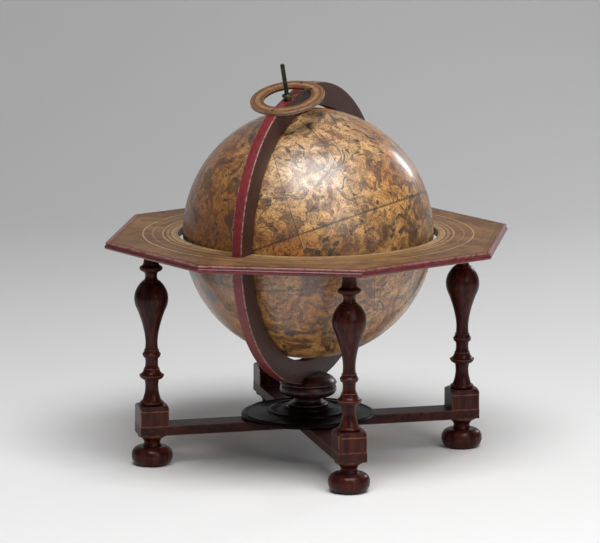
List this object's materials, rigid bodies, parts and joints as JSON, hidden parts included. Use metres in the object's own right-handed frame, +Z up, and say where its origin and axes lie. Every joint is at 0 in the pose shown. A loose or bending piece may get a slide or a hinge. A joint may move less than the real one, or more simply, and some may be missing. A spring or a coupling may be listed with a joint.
{
  "type": "celestial globe",
  "caption": "Old celestial table globe in a wooden meridian ring with an hour circle and index, turning in an octagonal horizon on a turned stand with bun feet.",
  "frame": {"origin": "on the floor under the globe's centre, at the bottom centre of the bounding box", "axes": "+Z is up. The corners of the octagonal horizon lie on +X, +Y, -X and -Y, and between them. The legs stand at 45 degrees to the axes. The meridian ring stands near the YZ plane, turned 3.3 degrees about +Z, with the pole leaning 17.5 degrees from +Z towards -Y."},
  "size_m": [0.3814, 0.3814, 0.3716],
  "materials": {
    "globe_print": "varnished print on a plastered paper shell, aged, glossy",
    "core_wood": "plain",
    "iron": "dark, dull",
    "index_brass": "dull, aged",
    "red_wood": "red stained, polished",
    "hour_wood": "red-brown, worn edges",
    "printed_paper": "varnished print, browned",
    "board_wood": "stained",
    "leg_wood": "dark mahogany, polished",
    "black_wood": "black stained, polished"
  },
  "bodies": {
    "stand": {"horizon_segment_1": "board_wood", "horizon_segment_2": "board_wood", "horizon_segment_3": "board_wood", "horizon_segment_4": "board_wood", "horizon_segment_5": "board_wood", "horizon_segment_6": "board_wood", "horizon_segment_7": "board_wood", "horizon_segment_8": "board_wood", "horizon_tongues": "board_wood", "horizon_paper": "printed_paper", "edge_moulding_1": "red_wood", "edge_moulding_2": "red_wood", "edge_moulding_3": "red_wood", "edge_moulding_4": "red_wood", "edge_moulding_5": "red_wood", "edge_moulding_6": "red_wood", "edge_moulding_7": "red_wood", "edge_moulding_8": "red_wood", "leg_1": "leg_wood", "leg_2": "leg_wood", "leg_3": "leg_wood", "leg_4": "leg_wood", "foot_1": "leg_wood", "foot_2": "leg_wood", "foot_3": "leg_wood", "foot_4": "leg_wood", "stretcher_lower": "leg_wood", "stretcher_upper": "leg_wood", "base_disc": "black_wood", "pedestal": "black_wood"},
    "meridian": {"meridian_ring": "red_wood", "hour_circle": "hour_wood", "hour_circle_paper": "printed_paper", "hour_circle_nails": "iron"},
    "globe": {"globe_north_half": "globe_print", "globe_south_half": "globe_print", "north_end_block": "core_wood", "south_end_block": "core_wood", "core_rod": "core_wood", "north_pivot_pin": "iron", "south_pivot_pin": "iron"},
    "index": {"index_collar": "index_brass", "index_hand": "index_brass"}
  },
  "joints": [
    {"name": "meridian_tilt", "type": "hinge", "parent": "stand", "child": "meridian", "pos_m": [0, 0, 0.209], "axis": [0.9983, 0.0576, 0], "range_deg": [-91, 56]},
    {"name": "globe_spin", "type": "hinge", "parent": "meridian", "child": "globe", "pos_m": [0, 0, 0.209], "axis": [0.0173, -0.3002, 0.9537], "continuous": true},
    {"name": "index_turn", "type": "hinge", "parent": "globe", "child": "index", "pos_m": [0.00241, -0.04173, 0.34157], "axis": [0.0173, -0.3002, 0.9537], "continuous": true}
  ]
}
